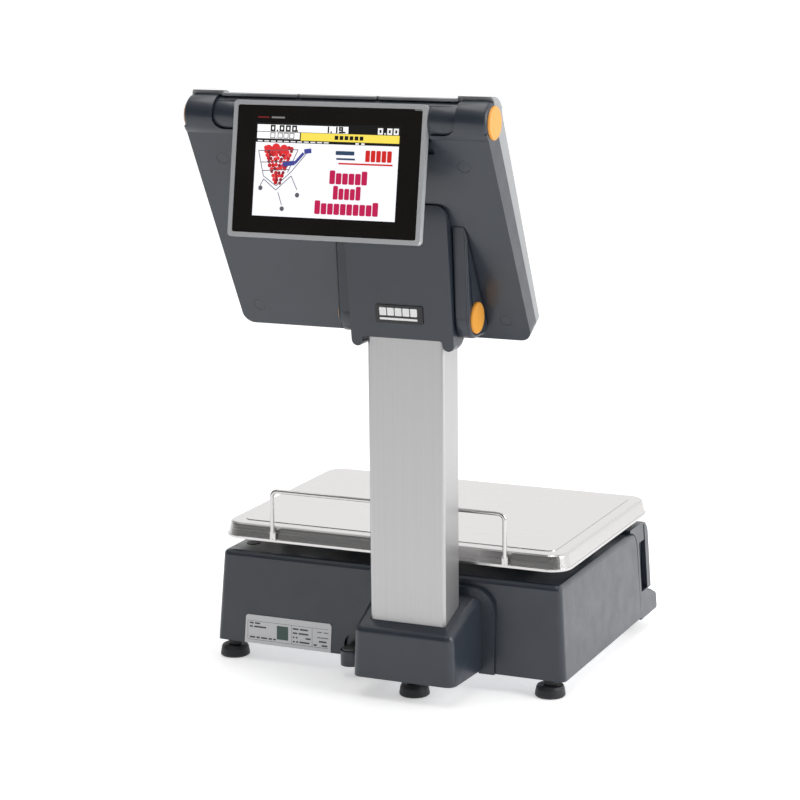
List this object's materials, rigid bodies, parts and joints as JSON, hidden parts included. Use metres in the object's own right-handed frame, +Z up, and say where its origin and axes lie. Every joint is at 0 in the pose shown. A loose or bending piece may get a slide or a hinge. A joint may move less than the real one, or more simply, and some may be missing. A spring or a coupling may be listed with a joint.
{
  "type": "retail price scale",
  "caption": "Counter price scale: low base with stainless platter and guard rail, rear aluminium column, tilting operator head and a colour customer display.",
  "frame": {"origin": "bottom centre of the whole scale, on the surface that it stands on", "axes": "+Z up, +Y towards the customer, -Y towards the operator, +X to the operator's right"},
  "size_m": [0.3956, 0.4362, 0.6113],
  "materials": {
    "dark_plastic": "fine moulded grain, satin",
    "light_plastic": "fine moulded grain, satin",
    "orange_plastic": "smooth, semi-gloss",
    "black_plastic": "moulded, matt",
    "column_aluminium": "satin anodised",
    "stainless": "fine brushed",
    "silver_frame": "satin anodised",
    "screen_glass": "gloss black glass",
    "clear_glass": "clear",
    "zinc_steel": "zinc plated",
    "cast_alloy": "machined alloy",
    "brass": "turned",
    "soft_rubber": "moulded rubber",
    "circuit_board": "green laminate",
    "label_foil": "silver foil label",
    "badge_black": "printed, gloss",
    "paper": "thermal paper",
    "key_film": "embossed film",
    "switch_red": "gloss",
    "bush_plastic": "acetal"
  },
  "bodies": {
    "base": {"base_housing": "dark_plastic", "base_pan": "zinc_steel", "front_module": "dark_plastic", "door_pins": "zinc_steel", "rating_plate": "label_foil", "level_cup": "dark_plastic", "level_vial": "clear_glass", "top_plug": "black_plastic", "foot_inserts": "brass", "base_screws": "zinc_steel", "load_cell": "cast_alloy", "load_cell_mount": "cast_alloy", "platter_spider": "cast_alloy", "platter_bumpers": "soft_rubber", "printer_chassis": "zinc_steel", "print_head": "black_plastic", "printer_motor": "zinc_steel", "roll_axle": "bush_plastic", "power_supply": "zinc_steel", "base_board": "circuit_board", "mains_inlet": "black_plastic", "column_bracket": "zinc_steel", "column_screws": "zinc_steel", "column_foot_cover": "dark_plastic", "column_tube": "column_aluminium", "column_harness": "black_plastic", "tilt_bracket": "zinc_steel", "tilt_bushes": "bush_plastic", "neck_rear_cover": "dark_plastic", "neck_front_cover": "dark_plastic", "badge": "badge_black"},
    "head": {"tilt_shaft": "zinc_steel", "tilt_arm_left": "dark_plastic", "tilt_arm_right": "dark_plastic", "arm_caps": "orange_plastic", "head_back_shell": "dark_plastic", "head_front_bezel": "light_plastic", "barrel_caps": "orange_plastic", "screw_plugs": "dark_plastic", "main_board": "circuit_board", "operator_lcd": "circuit_board", "operator_window": "screen_glass", "keyboard": "key_film", "display_axles": "zinc_steel"},
    "customer_display": {"display_barrel": "dark_plastic", "display_housing": "dark_plastic", "display_frame": "silver_frame", "display_panel": "screen_glass"},
    "weighing_platter": {"platter": "stainless", "guard_rail": "stainless"},
    "door": {"front_door": "dark_plastic"},
    "foot_1": {"foot_1": "black_plastic"},
    "foot_2": {"foot_2": "black_plastic"},
    "foot_3": {"foot_3": "black_plastic"},
    "foot_4": {"foot_4": "black_plastic"},
    "foot_5": {"foot_5": "black_plastic"},
    "label_roll": {"paper_roll": "paper"},
    "platen": {"platen_roller": "soft_rubber"},
    "pinion": {"motor_pinion": "brass"},
    "rocker": {"power_rocker": "switch_red"}
  },
  "joints": [
    {"name": "head_tilt", "type": "hinge", "parent": "base", "child": "head", "pos_m": [-0.0495, 0.1187, 0.3922], "axis": [1, 0, 0], "range_deg": [0, 15]},
    {"name": "display_tilt", "type": "hinge", "parent": "head", "child": "customer_display", "pos_m": [-0.004, 0.1804, 0.58702], "axis": [1, 0, 0], "range_deg": [-8, 15]},
    {"name": "platter_lift", "type": "slide", "parent": "base", "child": "weighing_platter", "axis": [0, 0, 1], "range_m": [0, 0.06]},
    {"name": "door_hinge", "type": "hinge", "parent": "base", "child": "door", "pos_m": [0, -0.1945, 0.049], "axis": [1, 0, 0], "range_deg": [0, 85]},
    {"name": "foot_1_turn", "type": "hinge", "parent": "base", "child": "foot_1", "pos_m": [0.182, 0.0685, 0], "axis": [0, 0, 1], "continuous": true},
    {"name": "foot_2_turn", "type": "hinge", "parent": "base", "child": "foot_2", "pos_m": [-0.178, 0.0685, 0], "axis": [0, 0, 1], "continuous": true},
    {"name": "foot_3_turn", "type": "hinge", "parent": "base", "child": "foot_3", "pos_m": [0.15, -0.135, 0], "axis": [0, 0, 1], "continuous": true},
    {"name": "foot_4_turn", "type": "hinge", "parent": "base", "child": "foot_4", "pos_m": [-0.15, -0.135, 0], "axis": [0, 0, 1], "continuous": true},
    {"name": "foot_5_turn", "type": "hinge", "parent": "base", "child": "foot_5", "pos_m": [-0.0495, 0.1177, 0], "axis": [0, 0, 1], "continuous": true},
    {"name": "roll_spin", "type": "hinge", "parent": "base", "child": "label_roll", "pos_m": [0.112, -0.105, 0.067], "axis": [1, 0, 0], "continuous": true},
    {"name": "platen_spin", "type": "hinge", "parent": "base", "child": "platen", "pos_m": [0.112, -0.176, 0.081], "axis": [1, 0, 0], "continuous": true},
    {"name": "pinion_spin", "type": "hinge", "parent": "base", "child": "pinion", "pos_m": [0.151, -0.16145, 0.081], "axis": [1, 0, 0], "continuous": true},
    {"name": "rocker_tip", "type": "hinge", "parent": "base", "child": "rocker", "pos_m": [0.191, 0.045, 0.064], "axis": [0, 1, 0], "range_deg": [0, 18]}
  ],
  "couplings": [
    {"joint": "pinion_spin", "follows": "platen_spin", "ratio": -2}
  ]
}
